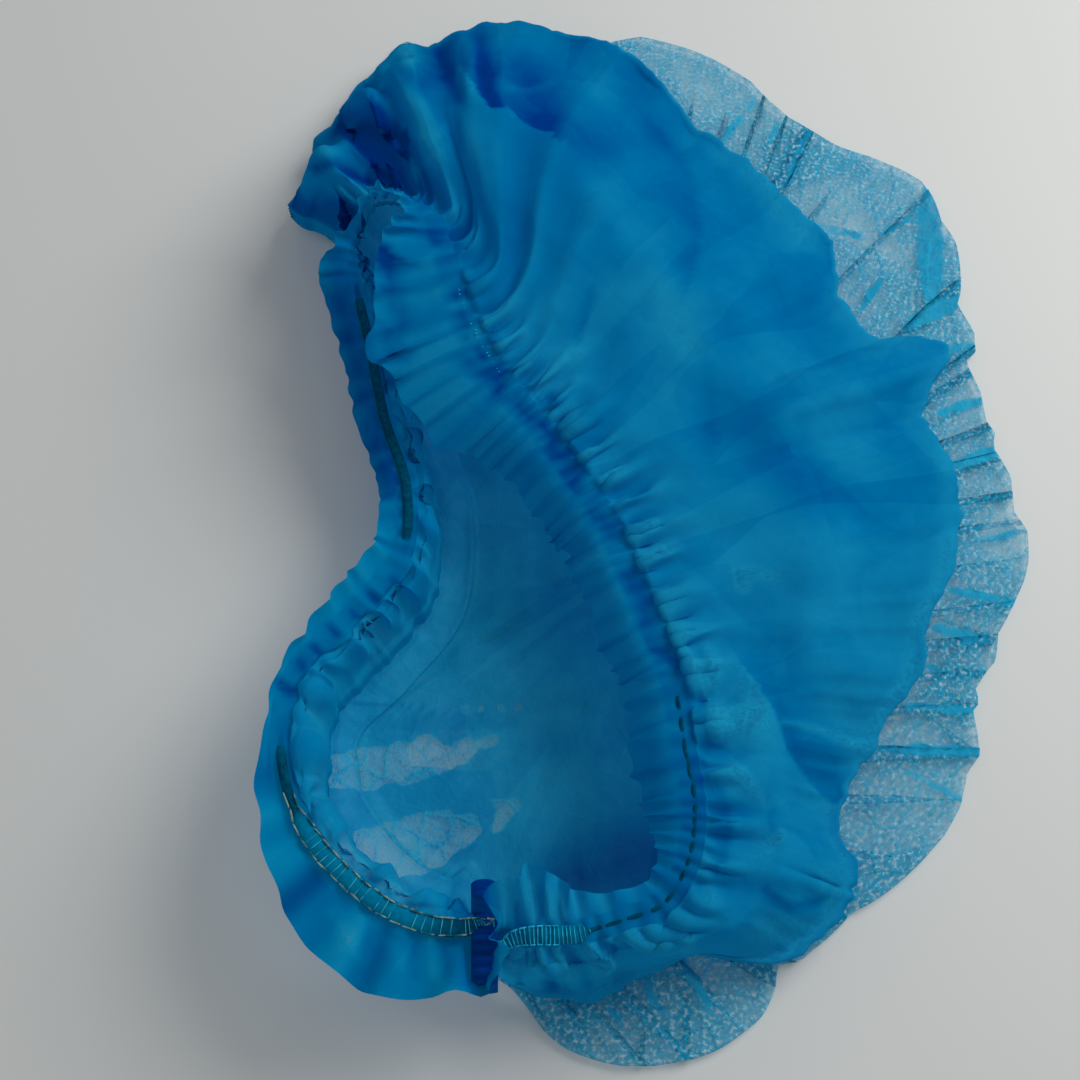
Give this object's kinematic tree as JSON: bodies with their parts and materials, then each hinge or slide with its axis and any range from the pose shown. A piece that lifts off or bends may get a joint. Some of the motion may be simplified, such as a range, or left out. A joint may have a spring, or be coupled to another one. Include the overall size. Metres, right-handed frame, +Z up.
{
  "type": "disposable hairnet",
  "caption": "Bouffant cap of thin crinkled cloth, lying open side up, with a gathered elastic mouth and a narrow frill.",
  "frame": {"origin": "on the table under the middle of the cap's box", "axes": "+Z up off the table, +Y along the cap's length towards its pleated tip, +X from the mouth towards the drawn-out crown"},
  "size_m": [0.1922, 0.2894, 0.0519],
  "materials": {
    "cap_cloth": "thin translucent spunbond cloth with fine crinkles and pressed bond points",
    "elastic": "covered elastic under ladder stitching"
  },
  "bodies": {
    "root": {"crown": "cap_cloth", "elastic_band": "elastic", "hem_ruffle": "cap_cloth"}
  },
  "joints": []
}
